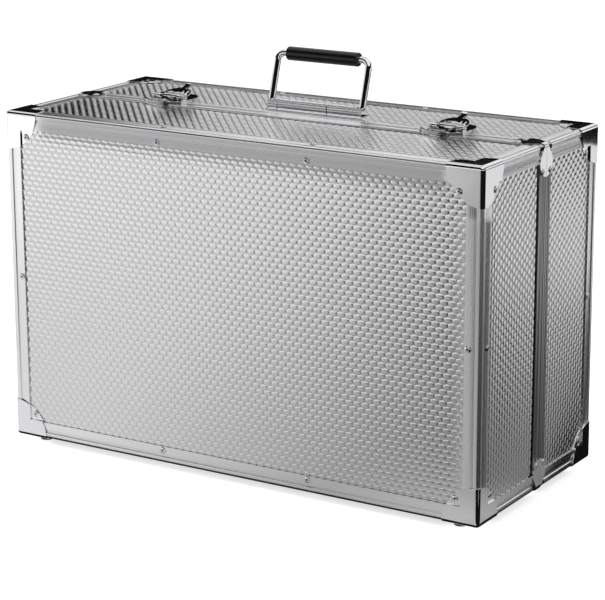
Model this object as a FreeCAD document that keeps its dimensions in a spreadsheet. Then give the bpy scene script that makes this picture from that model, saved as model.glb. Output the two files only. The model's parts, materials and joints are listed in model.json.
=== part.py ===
import FreeCAD, Part
import math
import os
import re
import Sketcher

# Hard carrying case: embossed panels in riveted aluminium profiles, pressed corner caps,
# lever latches, a folding bail handle and a lid that turns on hinges under the parting line.
# Frame: X across the width, -Y the lid at the front, +Y the base at the back, +Z up, floor at Z = 0.

os.makedirs("parts", exist_ok=True)
doc = FreeCAD.newDocument("hard_case")
dims = doc.addObject("Spreadsheet::Sheet", "dims")

# Driving dimensions in millimetres and degrees.
DIMENSIONS = [
    ("case_width", 540, "outside, across X"),
    ("case_height", 340, "outside, without the feet"),
    ("case_depth", 240, "outside, front to back"),
    ("lid_depth", 125, "from the front face to the parting plane"),
    ("foot_height", 6, "from the floor to the bottom of the case"),
    ("edge_radius", 3, "outer edge of every profile"),
    ("panel_thickness", 4, "board with its embossed skin"),
    ("fit_gap", 0.1, "panel edge to the bottom of its channel"),
    ("profile_wall", 1.8, "outer flanges of the profiles"),
    ("inner_wall", 1.4, "inner flanges of the profiles"),
    ("flange_width", 17, "outer flange of the edge profiles"),
    ("inner_flange", 13, "inner flange of the edge profiles, from the outer face"),
    ("channel_start", 6, "lengthwise channel of an edge flange, from the edge of the case"),
    ("channel_end", 13, "end of the channel's gentle slope, from the edge of the case"),
    ("channel_wall", 0.6, "width of the channel's steep side"),
    ("channel_depth", 0.9, "at the foot of the steep side"),
    ("butt_gap", 0.3, "between two profiles that meet end to side"),
    ("rim_gap", 0.3, "between lid and base at the parting plane"),
    ("rim_flange", 12, "outer flange of the rim profiles"),
    ("rim_web", 4, "solid part of the rim profiles behind the parting plane"),
    ("rim_inner_flange", 9, "inner flange of the rim profiles"),
    ("rim_groove", 6, "middle of the groove of a rim flange, from the parting plane"),
    ("rim_groove_width", 2.4, "at the flange's face"),
    ("rim_groove_depth", 0.5, "in the middle"),
    ("tongue_length", 2.2, "tongue of the base rim"),
    ("tongue_thickness", 1.8, "tongue of the base rim"),
    ("tongue_clearance", 0.4, "groove of the lid rim, on each side of the tongue"),
    ("liner_thickness", 2, "lining tray"),
    ("cap_thickness", 1, "sheet of the corner caps and rim caps"),
    ("corner_cap_radius", 38, "outline of a corner cap about the corner of the case"),
    ("rim_cap_radius", 13, "round end of a rim cap"),
    ("rim_cap_centre", 18, "round end of a rim cap, from the edge of the case"),
    ("rim_cap_neck", 2.8, "rim cap where it turns over the edge"),
    ("rivet_radius", 3.4, "head"),
    ("rivet_crown_radius", 2.1, "flat top of the head"),
    ("rivet_height", 1.2, "head"),
    ("cap_rivet_inset", 24.5, "corner cap rivets from both edges"),
    ("flange_rivet_inset", 13.5, "flange rivets from the edge"),
    ("flange_rivet_offset", 85, "flange rivets of the long profiles from the middle"),
    ("rim_rivet_distance", 8, "rim cap rivets from the parting plane"),
    ("rim_rivet_inset", 25.5, "rim cap rivets from the edge"),
    ("foot_radius", 7.5, "at the case"),
    ("foot_taper", 1, "radius lost at the floor"),
    ("foot_side_inset", 26, "foot centre from the side of the case"),
    ("foot_face_inset", 16, "foot centre from the front or back of the case"),
    ("hinge_offset", 150, "middle of a hinge from the middle of the case"),
    ("hinge_length", 60, "along the parting line"),
    ("hinge_leaf_length", 11.5, "from the parting plane"),
    ("hinge_leaf_thickness", 1.2, "sheet"),
    ("hinge_knuckle_radius", 2.4, "outside of the rolled knuckles"),
    ("hinge_drop", 2.7, "hinge axis under the bottom of the case"),
    ("hinge_pin_radius", 1.25, "hinge pin"),
    ("running_clearance", 0.05, "radial, pin in bore"),
    ("side_clearance", 0.3, "beside a moving piece"),
    ("handle_set_back", 31, "handle axle from the parting plane"),
    ("handle_plate_width", 109, "across X"),
    ("handle_plate_front", 9, "from the axle"),
    ("handle_plate_back", 11, "from the axle"),
    ("handle_plate_thickness", 1.5, "sheet"),
    ("handle_wall", 1.3, "front lip and rolled barrel"),
    ("barrel_sink", 0.3, "barrel into its plate"),
    ("slit_width", 0.9, "slits between the rolled lengths of the barrel"),
    ("slit_left", 43, "left slit from the middle"),
    ("slit_right", 15, "right slit from the middle"),
    ("bail_radius", 3.5, "wire"),
    ("bail_half_width", 53, "arm from the middle"),
    ("bail_height", 51.5, "from the axle to the middle of the grip"),
    ("bail_bend", 8, "upper bends, at the middle of the wire"),
    ("bail_foot_bend", 5, "lower bends, at the middle of the wire"),
    ("bail_foot_end", 20, "ends of the wire inside the barrel, from the middle"),
    ("handle_lean", 17, "lean to the back at rest, in degrees"),
    ("grip_radius", 7, "outside"),
    ("grip_length", 82.5, "along X"),
    ("grip_split", 1.4, "lengthwise slit of the grip"),
    ("grip_round", 1.2, "rounded ends"),
    ("latch_offset", 162, "latch from the middle of the case"),
    ("latch_plate_radius", 20, "round rear part"),
    ("latch_plate_width", 39, "front part"),
    ("latch_plate_front", 2.5, "from the parting plane"),
    ("latch_plate_thickness", 1.5, "over the rim flange"),
    ("latch_centre", 24, "middle of the round rear part from the parting plane"),
    ("latch_lug_thickness", 2, "ears that carry the lever"),
    ("latch_pin_radius", 1.25, "lever pivot pins and hook pins"),
    ("lever_pivot", 7, "pivot from the parting plane"),
    ("lever_pivot_rise", 4.4, "pivot over the rim flange"),
    ("lever_hub_radius", 2.6, "round the pivot"),
    ("lever_half_width", 16, "over the lever's arms"),
    ("lever_slot_half_width", 10.4, "slot for the hook"),
    ("lever_arm_top", 5.9, "top of the arms over the rim flange"),
    ("lever_underside", 2, "over the rim flange, before the slope"),
    ("lever_centre", 19, "middle of the round plate from the parting plane, before the slope"),
    ("lever_slope", 12, "round plate up to the back, in degrees"),
    ("lever_radius", 15.5, "round plate"),
    ("lever_plate", 1.8, "lowest step"),
    ("lever_step", 3.4, "each step is this much smaller in radius"),
    ("lever_step_rise", 1.3, "each step"),
    ("lever_draft", 0.5, "fall of each step from its inner to its outer edge"),
    ("tail_width", 6, "finger tail"),
    ("tail_overlap", 4.5, "tail inside the round plate"),
    ("tail_run", 10, "flat part of the tail"),
    ("tail_sweep", 3, "turned-up part, along the lever"),
    ("tail_rise", 2.4, "turned-up part, upward"),
    ("hook_pin_offset", 6, "hook pin behind the lever pivot"),
    ("hook_pin_drop", 0.2, "hook pin under the lever pivot"),
    ("hook_barrel_radius", 2.3, "rolled end of the hook"),
    ("hook_width", 16, "strip"),
    ("hook_thickness", 1.2, "strip"),
    ("hook_reach", 27, "from the hook pin to the nose"),
    ("hook_nose", 2.4, "thick front end of the strip"),
    ("hook_clearance", 0.4, "under the strip, over the keeper"),
    ("keeper_width", 47, "across X"),
    ("keeper_back", 0.8, "from the parting plane"),
    ("keeper_front", 14.5, "middle of its bowed front from the parting plane"),
    ("keeper_bow", 36, "radius of the bowed front"),
    ("keeper_thickness", 1.4, "plate"),
    ("keeper_lip", 3, "raised rim along the bowed front"),
]
ALIASES = [alias for alias, value, meaning in DIMENSIONS]
for row, (alias, value, meaning) in enumerate(DIMENSIONS, start=1):
    dims.set("A%d" % row, alias)
    dims.set("B%d" % row, str(value))
    dims.set("C%d" % row, meaning)
    dims.setAlias("B%d" % row, alias)
doc.recompute()

LOW_FACES = {"left": "-case_width / 2", "lid": "-case_depth / 2", "bottom": "foot_height"}
HIGH_FACES = {"right": "case_width / 2", "base": "case_depth / 2", "top": "foot_height + case_height"}
HALVES = ("lid", "base")
SIDES = ("left", "right")
ENDS = ("bottom", "top")
PARTING = "(lid_depth - case_depth / 2)"
CHANNEL = "(profile_wall + panel_thickness + inner_wall)"
PANEL_EDGE = "(%s + fit_gap)" % CHANNEL
RIM_FACE = "(rim_gap / 2)"
AXIS_X = FreeCAD.Vector(1, 0, 0)
AXIS_Y = FreeCAD.Vector(0, 1, 0)
AXIS_Z = FreeCAD.Vector(0, 0, 1)
INWARD = {"left": AXIS_X, "right": -AXIS_X, "lid": AXIS_Y, "base": -AXIS_Y,
          "bottom": AXIS_Z, "top": -AXIS_Z}
SAME_DIRECTION = 1e-6
FULL_TURN = 360

# A new outline starts as a regular polygon, and its dimensions pull it into place.
ROUGH_CENTRE = 60
ROUGH_RADIUS = 50

nodes = {}


def expr(text):
    """Turn every alias in a formula into a reference to its cell."""
    return re.sub(r"[a-z][a-z_]*", lambda word: cell(word.group()), text)


def cell(word):
    return "dims." + word if word in ALIASES else word


def bind(obj, prop, text):
    obj.setExpression(prop, expr(text))


def place(obj, origin, rotation=FreeCAD.Rotation()):
    """Turn an object and bind its origin to three formulas."""
    obj.Placement = FreeCAD.Placement(FreeCAD.Vector(), rotation)
    for axis, text in zip("xyz", origin):
        bind(obj, "Placement.Base." + axis, text)


def keep(label, obj):
    """Give a finished sub-part its name."""
    obj.Label = label
    nodes[label] = obj
    return obj


def face_axis(face):
    return {"left": "x", "right": "x", "lid": "y", "base": "y", "bottom": "z", "top": "z"}[face]


def facing(direction):
    """The outer face of the case whose inward direction this is."""
    return [face for face in INWARD if INWARD[face].isEqual(direction, SAME_DIRECTION)][0]


def at(face, depth):
    """Plane at a depth inside one outer face of the case."""
    if face in LOW_FACES:
        return "(%s + (%s))" % (LOW_FACES[face], depth)
    return "(%s - (%s))" % (HIGH_FACES[face], depth)


def from_rim(half, distance):
    """Plane at a distance from the parting plane, into one half."""
    sign = "-" if half == "lid" else "+"
    return "(%s %s (%s))" % (PARTING, sign, distance)


def layer(face, near, far):
    """Span between two depths inside one outer face."""
    planes = (at(face, near), at(face, far))
    return planes if face in LOW_FACES else planes[::-1]


def half_span(half, depth, distance):
    """Span of one half, from a depth inside its outer face to a distance from the parting plane."""
    planes = (at(half, depth), from_rim(half, distance))
    return planes if half == "lid" else planes[::-1]


def width_span(inset):
    return (at("left", inset), at("right", inset))


def height_span(inset):
    return (at("bottom", inset), at("top", inset))


def depth_span(inset):
    return (at("lid", inset), at("base", inset))


def about(middle, half_width):
    return ("%s - (%s)" % (middle, half_width), "%s + (%s)" % (middle, half_width))


def box(name, *spans):
    """Block between three spans, along X, Y and Z."""
    block = doc.addObject("Part::Box", name)
    for side, (low, high) in zip(("Length", "Width", "Height"), spans):
        bind(block, side, "(%s) - (%s)" % (high, low))
    place(block, [low for low, high in spans])
    return block


def cylinder(name, radius, length, origin, axis=AXIS_Z):
    rod = doc.addObject("Part::Cylinder", name)
    bind(rod, "Radius", radius)
    bind(rod, "Height", length)
    place(rod, origin, FreeCAD.Rotation(AXIS_Z, axis))
    return rod


def rod_along_x(name, radius, span, y, z):
    low, high = span
    return cylinder(name, radius, "(%s) - (%s)" % (high, low), (low, y, z), AXIS_X)


def fuse(name, shapes):
    union = doc.addObject("Part::MultiFuse", name)
    union.Shapes = shapes
    return union


def cut(name, base, tool):
    difference = doc.addObject("Part::Cut", name)
    difference.Base = base
    difference.Tool = tool
    return difference


def common(name, base, tool):
    shared = doc.addObject("Part::Common", name)
    shared.Base = base
    shared.Tool = tool
    return shared


def group(label, members):
    """Several separate solids under one name."""
    compound = doc.addObject("Part::Compound", label)
    compound.Links = members
    return keep(label, compound)


def frame_rotation(x_axis, y_axis):
    return FreeCAD.Rotation(x_axis, y_axis, x_axis.cross(y_axis), "XYZ")


def copy_of(master, name, origin, rotation):
    link = doc.addObject("App::Link", name)
    link.LinkedObject = master
    place(link, origin, rotation)
    return link


def new_sketch(body, name, role):
    sketch = body.newObject("Sketcher::SketchObject", name)
    plane = [feature for feature in body.Origin.OriginFeatures if feature.Role == role][0]
    sketch.AttachmentSupport = [(plane, "")]
    sketch.MapMode = "FlatFace"
    return sketch


def fix_value(sketch, kind, operands, value, text):
    """Add a dimension to a sketch and bind it to a formula."""
    index = sketch.addConstraint(Sketcher.Constraint(kind, *operands, value))
    name = "size_%d" % index
    sketch.renameConstraint(index, name)
    bind(sketch, "Constraints." + name, text)


def fix_point(sketch, geometry, end, x_text, y_text, rough):
    """Fix one point of a sketch at two formulas; a coordinate of zero lies on the sketch's axis."""
    for text, axis, kind, value in ((x_text, -2, "DistanceX", rough.x), (y_text, -1, "DistanceY", rough.y)):
        if text == "0":
            sketch.addConstraint(Sketcher.Constraint("PointOnObject", geometry, end, axis))
        else:
            fix_value(sketch, kind, (-1, 1, geometry, end), value, text)


def polygon(sketch, points):
    """Closed outline through points given as formulas."""
    count = len(points)
    turns = [2 * math.pi * index / count for index in range(count)]
    rough = [FreeCAD.Vector(ROUGH_CENTRE + ROUGH_RADIUS * math.cos(turn),
                            ROUGH_CENTRE + ROUGH_RADIUS * math.sin(turn), 0) for turn in turns]
    for index in range(count):
        sketch.addGeometry(Part.LineSegment(rough[index], rough[(index + 1) % count]))
    for index in range(count):
        sketch.addConstraint(Sketcher.Constraint("Coincident", index, 2, (index + 1) % count, 1))
    for index, (x_text, y_text) in enumerate(points):
        fix_point(sketch, index, 1, x_text, y_text, rough[index])


def extrusion(name, points, length, origin, x_axis, y_axis):
    """Straight length of a section whose own X and Y point along two directions of the case."""
    body = doc.addObject("PartDesign::Body", name)
    sketch = new_sketch(body, name + "_section", "XY_Plane")
    polygon(sketch, points)
    pad = body.newObject("PartDesign::Pad", name + "_length")
    pad.Profile = sketch
    bind(pad, "Length", length)
    place(body, origin, frame_rotation(x_axis, y_axis))
    return body


def rounded_block(name, growth, radius):
    """The outer box of the case, grown on all sides, with every edge rounded."""
    width, depth, height = ("(%s + 2 * %s)" % (size, growth)
                            for size in ("case_width", "case_depth", "case_height"))
    body = extrusion(name, [("0", "0"), (width, "0"), (width, depth), ("0", depth)], height,
                     [at(face, "-(%s)" % growth) for face in ("left", "lid", "bottom")], AXIS_X, AXIS_Y)
    doc.recompute()
    pad = body.Tip
    edges = ["Edge%d" % (index + 1) for index in range(len(pad.Shape.Edges))]
    fillet = body.newObject("PartDesign::Fillet", name + "_edges")
    fillet.Base = (pad, edges)
    bind(fillet, "Radius", radius)
    return body


# Aluminium profiles: two flanges outside, a channel for each panel and a short inner flange.

def edge_section():
    """Two equal flanges, each with a shallow channel: a steep wall down and a gentle slope back up."""
    outer = [("0", "0"), ("channel_start", "0"), ("channel_start + channel_wall", "channel_depth")]
    outer += [("channel_end", "0"), ("flange_width", "0"), ("flange_width", "profile_wall")]
    outer += [(CHANNEL, "profile_wall")]
    outer += [(CHANNEL, "profile_wall + panel_thickness"), ("inner_flange", "profile_wall + panel_thickness")]
    outer += [("inner_flange", CHANNEL)]
    mirrored = [(y_text, x_text) for x_text, y_text in outer[:0:-1]]
    return outer + [(CHANNEL, CHANNEL)] + mirrored


def rim_section(joint):
    """Section from the parting plane inward, with a tongue, a groove or a plain face."""
    start = "tongue_length" if joint == "tongue" else "0"
    middle = "%s / 2" % CHANNEL

    def along(distance):
        return "%s + %s" % (start, distance)

    points = [(start, "0"), (along("rim_groove - rim_groove_width / 2"), "0")]
    points += [(along("rim_groove"), "rim_groove_depth"), (along("rim_groove + rim_groove_width / 2"), "0")]
    points += [(along("rim_flange"), "0"), (along("rim_flange"), "profile_wall")]
    points += [(along("rim_web"), "profile_wall"), (along("rim_web"), "profile_wall + panel_thickness")]
    points += [(along("rim_inner_flange"), "profile_wall + panel_thickness")]
    points += [(along("rim_inner_flange"), CHANNEL), (start, CHANNEL)]
    if joint == "tongue":
        half_tongue = "tongue_thickness / 2"
        points += [(start, "%s + %s" % (middle, half_tongue)), ("0", "%s + %s" % (middle, half_tongue))]
        points += [("0", "%s - %s" % (middle, half_tongue)), (start, "%s - %s" % (middle, half_tongue))]
    if joint == "groove":
        half_groove = "(tongue_thickness / 2 + tongue_clearance)"
        floor = "tongue_length + tongue_clearance"
        points += [("0", "%s + %s" % (middle, half_groove)), (floor, "%s + %s" % (middle, half_groove))]
        points += [(floor, "%s - %s" % (middle, half_groove)), ("0", "%s - %s" % (middle, half_groove))]
    return points


envelope = rounded_block("envelope", "0", "edge_radius")


def profile(label, points, length, corner, x_axis, y_axis):
    """A length of a section with the outer edges of the case rounded; corner gives a plane for each axis."""
    bar = extrusion(label + "_bar", points, length, [corner[axis] for axis in "xyz"], x_axis, y_axis)
    return common(label, bar, envelope)


def edge_profile(label, first, second, run_face, start, length):
    """Profile along the edge between two faces, from a distance inside a third face inward."""
    faces = (first, second)
    if facing(INWARD[first].cross(INWARD[second])) != run_face:
        faces = (second, first)
    corner = {face_axis(face): at(face, "0") for face in faces}
    corner[face_axis(run_face)] = at(run_face, start)
    return profile(label, edge_section(), length, corner, INWARD[faces[0]], INWARD[faces[1]])


def rim_profile(label, half, face, joint, inset, length):
    """Profile along the parting line on one face of the case, with the same inset at both ends."""
    outward = -AXIS_Y if half == "lid" else AXIS_Y
    run_face = facing(outward.cross(INWARD[face]))
    first_plane = RIM_FACE + (" - tongue_length" if joint == "tongue" else "")
    corner = {"y": from_rim(half, first_plane), face_axis(face): at(face, "0"),
              face_axis(run_face): at(run_face, inset)}
    return profile(label, rim_section(joint), length, corner, outward, INWARD[face])


for half in HALVES:
    half_depth = "lid_depth" if half == "lid" else "(case_depth - lid_depth)"
    butt_start = "flange_width + butt_gap"
    depth_length = "%s - flange_width - rim_flange - %s - 2 * butt_gap" % (half_depth, RIM_FACE)
    for end in ENDS:
        keep("%s_%s_edge_profile" % (half, end),
             edge_profile("%s_%s_edge" % (half, end), half, end, "left", "0", "case_width"))
        joint = "plain" if end == "bottom" else {"lid": "groove", "base": "tongue"}[half]
        keep("%s_%s_rim" % (half, end),
             rim_profile("%s_%s_rim_bar" % (half, end), half, end, joint, "0", "case_width"))
    for side in SIDES:
        keep("%s_%s_edge_profile" % (half, side),
             edge_profile("%s_%s_edge" % (half, side), half, side, "bottom", butt_start,
                          "case_height - 2 * (%s)" % butt_start))
        rim_start = "%s + butt_gap" % CHANNEL
        joint = {"lid": "groove", "base": "tongue"}[half]
        keep("%s_%s_rim" % (half, side),
             rim_profile("%s_%s_rim_bar" % (half, side), half, side, joint, rim_start,
                         "case_height - 2 * (%s)" % rim_start))
    corners = []
    for side in SIDES:
        for end in ENDS:
            corners.append(edge_profile("%s_%s_%s_corner" % (half, side, end), side, end, half,
                                        butt_start, depth_length))
    group("%s_corner_profiles" % half, corners)

# Panels: flat boards that slide into the channels of the profiles.

for half in HALVES:
    panel_depth = half_span(half, PANEL_EDGE, "%s + rim_web + fit_gap" % RIM_FACE)
    board = ("profile_wall", "profile_wall + panel_thickness")
    main = "lid_front_panel" if half == "lid" else "base_back_panel"
    keep(main, box(main, width_span(PANEL_EDGE), layer(half, *board), height_span(PANEL_EDGE)))
    for end in ENDS:
        label = "%s_%s_panel" % (half, end)
        keep(label, box(label, width_span(PANEL_EDGE), panel_depth, layer(end, *board)))
    for side in SIDES:
        label = "%s_%s_panel" % (half, side)
        keep(label, box(label, layer(side, *board), panel_depth, height_span(PANEL_EDGE)))

# Lining: a thin tray in each half, against the inner flanges.

for half in HALVES:
    inside = "%s + liner_thickness" % PANEL_EDGE
    tray = box("%s_tray" % half, width_span(PANEL_EDGE), half_span(half, PANEL_EDGE, RIM_FACE),
               height_span(PANEL_EDGE))
    hollow = box("%s_hollow" % half, width_span(inside), half_span(half, inside, "-liner_thickness"),
                 height_span(inside))
    keep("%s_liner" % half, cut("%s_liner_cut" % half, tray, hollow))

# Pressed caps: a sheet that follows the rounded edges and flanges and steps down onto the panels,
# cut out round each corner of the case.

cap_block = rounded_block("cap_block", "cap_thickness", "edge_radius + cap_thickness")
sheet_over_flanges = cut("sheet_over_flanges", cap_block, envelope)
tab_plates = []
tab_hollows = []
hollow_inset = "flange_width + cap_thickness"
for face in INWARD:
    plate_layer = layer(face, "-cap_thickness", "profile_wall")
    hollow_layer = layer(face, "-2 * cap_thickness", "profile_wall - cap_thickness")
    for shapes, inset, thickness, kind in ((tab_plates, "flange_width", plate_layer, "plate"),
                                           (tab_hollows, hollow_inset, hollow_layer, "hollow")):
        spans = {"x": width_span(inset), "y": depth_span(inset), "z": height_span(inset)}
        spans[face_axis(face)] = thickness
        shapes.append(box("tab_%s_%s" % (kind, face), spans["x"], spans["y"], spans["z"]))
stepped_sheet = cut("stepped_sheet", fuse("sheet_with_plates", [sheet_over_flanges] + tab_plates),
                    fuse("tab_hollows", tab_hollows))

for half in HALVES:
    caps = []
    for side in SIDES:
        for end in ENDS:
            name = "%s_%s_%s_cap" % (half, side, end)
            ball = doc.addObject("Part::Sphere", name + "_ball")
            bind(ball, "Radius", "corner_cap_radius")
            place(ball, (at(side, "0"), at(half, "0"), at(end, "0")))
            caps.append(common(name, stepped_sheet, ball))
    group("%s_corner_caps" % half, caps)

# Rim caps: a leaf on each of two faces, joined by a narrow neck over the edge of the case.

LEAF_OVERRUN = "(2 * cap_thickness)"
LEAF_INNER = "(edge_radius + cap_thickness)"


def leaf_body():
    """The outline of one leaf, as a block: X from the parting plane, Y from outside the edge inward."""
    body = doc.addObject("PartDesign::Body", "leaf")
    sketch = new_sketch(body, "leaf_outline", "XY_Plane")
    centre = FreeCAD.Vector(0, dims.rim_cap_centre + 2 * dims.cap_thickness, 0)
    neck = FreeCAD.Vector(dims.rim_cap_neck, 2 * dims.cap_thickness, 0)
    turn = math.atan2(neck.y - centre.y, neck.x) + math.acos(dims.rim_cap_radius / neck.sub(centre).Length)
    touch = centre.add(FreeCAD.Vector(math.cos(turn), math.sin(turn), 0).multiply(dims.rim_cap_radius))
    tip = centre.add(FreeCAD.Vector(0, dims.rim_cap_radius, 0))
    foot = FreeCAD.Vector(neck.x, 0, 0)
    origin = FreeCAD.Vector()
    circle = Part.Circle(centre, AXIS_Z, dims.rim_cap_radius)
    sketch.addGeometry(Part.LineSegment(origin, foot))
    sketch.addGeometry(Part.LineSegment(foot, neck))
    sketch.addGeometry(Part.LineSegment(neck, touch))
    sketch.addGeometry(Part.ArcOfCircle(circle, turn, math.pi / 2))
    sketch.addGeometry(Part.LineSegment(tip, origin))
    for first, second in ((0, 1), (1, 2), (4, 0)):
        sketch.addConstraint(Sketcher.Constraint("Coincident", first, 2, second, 1))
    sketch.addConstraint(Sketcher.Constraint("Tangent", 2, 2, 3, 1))
    sketch.addConstraint(Sketcher.Constraint("Coincident", 3, 2, 4, 1))
    sketch.addConstraint(Sketcher.Constraint("Coincident", 0, 1, -1, 1))
    sketch.addConstraint(Sketcher.Constraint("Horizontal", 0))
    sketch.addConstraint(Sketcher.Constraint("Vertical", 1))
    sketch.addConstraint(Sketcher.Constraint("Vertical", 4))
    sketch.addConstraint(Sketcher.Constraint("PointOnObject", 3, 3, -2))
    fix_value(sketch, "DistanceX", (-1, 1, 1, 1), neck.x, "rim_cap_neck")
    fix_value(sketch, "DistanceY", (-1, 1, 1, 2), neck.y, LEAF_OVERRUN)
    fix_value(sketch, "DistanceY", (-1, 1, 3, 3), centre.y, "rim_cap_centre + " + LEAF_OVERRUN)
    fix_value(sketch, "Radius", (3,), dims.rim_cap_radius, "rim_cap_radius")
    pad = body.newObject("PartDesign::Pad", "leaf_block")
    pad.Profile = sketch
    bind(pad, "Length", "%s + %s" % (LEAF_OVERRUN, LEAF_INNER))
    return body


leaf = leaf_body()


def leaf_copy(name, half, face, edge_face):
    """A leaf that lies on one face and starts at the edge shared with another."""
    away = -AXIS_Y if half == "lid" else AXIS_Y
    normal = away.cross(INWARD[edge_face])
    depth = "-" + LEAF_OVERRUN if facing(normal) == face else LEAF_INNER
    corner = {"y": from_rim(half, RIM_FACE), face_axis(face): at(face, depth),
              face_axis(edge_face): at(edge_face, "-" + LEAF_OVERRUN)}
    return copy_of(leaf, name, [corner[axis] for axis in "xyz"], frame_rotation(away, INWARD[edge_face]))


for half in HALVES:
    caps = []
    for side in SIDES:
        for end in ENDS:
            name = "%s_%s_%s_rim_cap" % (half, side, end)
            leaves = fuse(name + "_leaves", [leaf_copy(name + "_on_" + end, half, end, side),
                                             leaf_copy(name + "_on_" + side, half, side, end)])
            caps.append(common(name, sheet_over_flanges, leaves))
    group("%s_rim_caps" % half, caps)

# Rivets: one head, repeated on the flanges, on the tabs of the corner caps and on the rim caps.

rivet = doc.addObject("Part::Cone", "rivet")
bind(rivet, "Radius1", "rivet_radius")
bind(rivet, "Radius2", "rivet_crown_radius")
bind(rivet, "Height", "rivet_height")


def rivet_on(face, seat, places):
    """A rivet head on one face at a depth; places gives the planes along the other two axes."""
    origin = dict(places)
    origin[face_axis(face)] = at(face, seat)
    name = "rivet_%d" % len(doc.Objects)
    return copy_of(rivet, name, [origin[axis] for axis in "xyz"], FreeCAD.Rotation(AXIS_Z, -INWARD[face]))


for half in HALVES:
    heads = []
    for end in ENDS:
        for offset in ("-flange_rivet_offset", "flange_rivet_offset"):
            heads.append(rivet_on(half, "0", {"x": offset, "z": at(end, "flange_rivet_inset")}))
            heads.append(rivet_on(end, "0", {"x": offset, "y": at(half, "flange_rivet_inset")}))
    mid_height = "(foot_height + case_height / 2)"
    for side in SIDES:
        heads.append(rivet_on(half, "0", {"x": at(side, "flange_rivet_inset"), "z": mid_height}))
        heads.append(rivet_on(side, "0", {"y": at(half, "flange_rivet_inset"), "z": mid_height}))
    tab = "profile_wall - cap_thickness"
    for side in SIDES:
        for end in ENDS:
            inset = {"x": at(side, "cap_rivet_inset"), "y": at(half, "cap_rivet_inset"),
                     "z": at(end, "cap_rivet_inset")}
            for face in (half, side, end):
                heads.append(rivet_on(face, tab, inset))
            rim = {"y": from_rim(half, "rim_rivet_distance"), "x": at(side, "rim_rivet_inset"),
                   "z": at(end, "rim_rivet_inset")}
            for face in (side, end):
                heads.append(rivet_on(face, "-cap_thickness", rim))
    group("%s_rivets" % half, heads)

# Feet: tapered rubber buttons under the corner caps.

for half in HALVES:
    feet = []
    for side in SIDES:
        foot = doc.addObject("Part::Cone", "%s_%s_foot" % (half, side))
        bind(foot, "Radius1", "foot_radius - foot_taper")
        bind(foot, "Radius2", "foot_radius")
        bind(foot, "Height", "foot_height - cap_thickness")
        place(foot, (at(side, "foot_side_inset"), at(half, "foot_face_inset"), "0"))
        feet.append(foot)
    group("%s_feet" % half, feet)

# Hinges under the parting line: one middle knuckle on the base leaf, two on the lid leaf, and a pin.

HINGE_AXIS = (PARTING, at("bottom", "-hinge_drop"))
KNUCKLE = "hinge_length / 6"
HINGE_X = {"left": "(-hinge_offset)", "right": "(hinge_offset)"}


def hinge_leaf(name, half, middle, knuckle_spans):
    """A leaf under one rim flange with its rolled knuckles, bored for the pin."""
    leaf_layer = layer("bottom", "-hinge_leaf_thickness", "0")
    start = "hinge_knuckle_radius + side_clearance"
    flat = box(name + "_flat", about(middle, "hinge_length / 2"),
               sorted_span(half, start, "hinge_leaf_length"), leaf_layer)
    shapes = [flat]
    for index, span in enumerate(knuckle_spans):
        shapes.append(rod_along_x("%s_knuckle_%d" % (name, index), "hinge_knuckle_radius", span, *HINGE_AXIS))
        bridge_layer = layer("bottom", "-hinge_leaf_thickness", "-hinge_drop + hinge_knuckle_radius")
        shapes.append(box("%s_bridge_%d" % (name, index), span, sorted_span(half, "0", start), bridge_layer))
    bore = rod_along_x(name + "_bore", "hinge_pin_radius + running_clearance",
                       about(middle, "hinge_length"), *HINGE_AXIS)
    return cut(name, fuse(name + "_rolled", shapes), bore)


def sorted_span(half, near, far):
    """Span between two distances from the parting plane."""
    planes = (from_rim(half, near), from_rim(half, far))
    return planes[::-1] if half == "lid" else planes


base_leaves, lid_leaves, pins = [], [], []
for side in SIDES:
    middle = HINGE_X[side]
    inner = about(middle, KNUCKLE)
    gap = "%s + side_clearance" % KNUCKLE
    left_end = ("%s - hinge_length / 2" % middle, "%s - (%s)" % (middle, gap))
    right_end = ("%s + (%s)" % (middle, gap), "%s + hinge_length / 2" % middle)
    base_leaves.append(hinge_leaf("base_%s_leaf" % side, "base", middle, [inner]))
    lid_leaves.append(hinge_leaf("lid_%s_leaf" % side, "lid", middle, [left_end, right_end]))
    pins.append(rod_along_x("%s_hinge_rod" % side, "hinge_pin_radius", about(middle, "hinge_length / 2"),
                            *HINGE_AXIS))
group("base_hinge_leaves", base_leaves)
group("lid_hinge_leaves", lid_leaves)
group("hinge_pins", pins)

# Handle: a plate with a front lip and a rolled barrel, a bent wire bail and a split grip.

BARREL_RADIUS = "(bail_radius + running_clearance + handle_wall)"
AXLE_Y = from_rim("base", "handle_set_back")
AXLE_Z = at("top", "profile_wall - handle_plate_thickness - %s + barrel_sink" % BARREL_RADIUS)
PANEL_TOP = at("top", "profile_wall")

plate_x = about("0", "handle_plate_width / 2")
lip_back = "%s - bail_radius - side_clearance" % AXLE_Y
lip_span = ("%s - handle_wall" % lip_back, lip_back)
barrel_span = about("0", "bail_half_width - bail_foot_bend - side_clearance")
plate = box("handle_sheet", plate_x, ("%s - handle_plate_front" % AXLE_Y, "%s + handle_plate_back" % AXLE_Y),
            (PANEL_TOP, "%s + handle_plate_thickness" % PANEL_TOP))
lip = box("handle_lip", plate_x, lip_span, (PANEL_TOP, "%s + %s" % (AXLE_Z, BARREL_RADIUS)))
barrel = rod_along_x("handle_barrel", BARREL_RADIUS, barrel_span, AXLE_Y, AXLE_Z)
openings = [rod_along_x("handle_bore", "bail_radius + running_clearance", plate_x, AXLE_Y, AXLE_Z)]
slit_heights = ("%s + handle_plate_thickness" % PANEL_TOP, "%s + 2 * %s" % (AXLE_Z, BARREL_RADIUS))
for name, middle in (("left_slit", "-slit_left"), ("right_slit", "slit_right")):
    openings.append(box(name, about(middle, "slit_width / 2"),
                        ("%s - 2 * %s" % (AXLE_Y, BARREL_RADIUS), AXLE_Y), slit_heights))
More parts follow.
